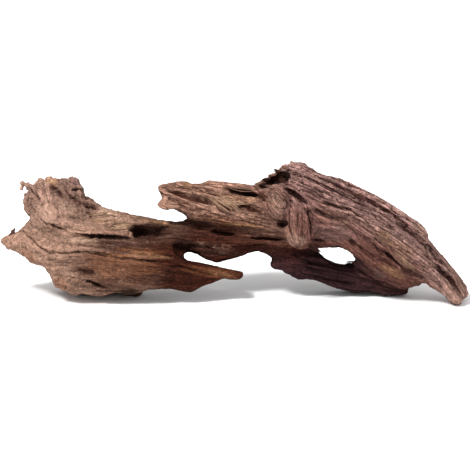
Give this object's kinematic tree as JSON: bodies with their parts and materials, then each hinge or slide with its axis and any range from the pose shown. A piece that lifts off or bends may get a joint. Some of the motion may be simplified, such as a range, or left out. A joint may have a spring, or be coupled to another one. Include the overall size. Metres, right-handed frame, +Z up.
{
  "type": "driftwood piece",
  "caption": "Gnarled piece of weathered honeycomb driftwood: broad root flare with a burl, slender stem, broken prong, ridged crown with finger ends and a lower back limb.",
  "frame": {"origin": "middle of the object's box, on the floor that the wood lies on", "axes": "+X along the wood from the root flare to the finger ends, +Y away from the viewer, +Z up"},
  "size_m": [0.4048, 0.1016, 0.1164],
  "materials": {
    "driftwood": "rough, dry, weathered grain"
  },
  "bodies": {
    "root": {"driftwood": "driftwood"}
  },
  "joints": []
}
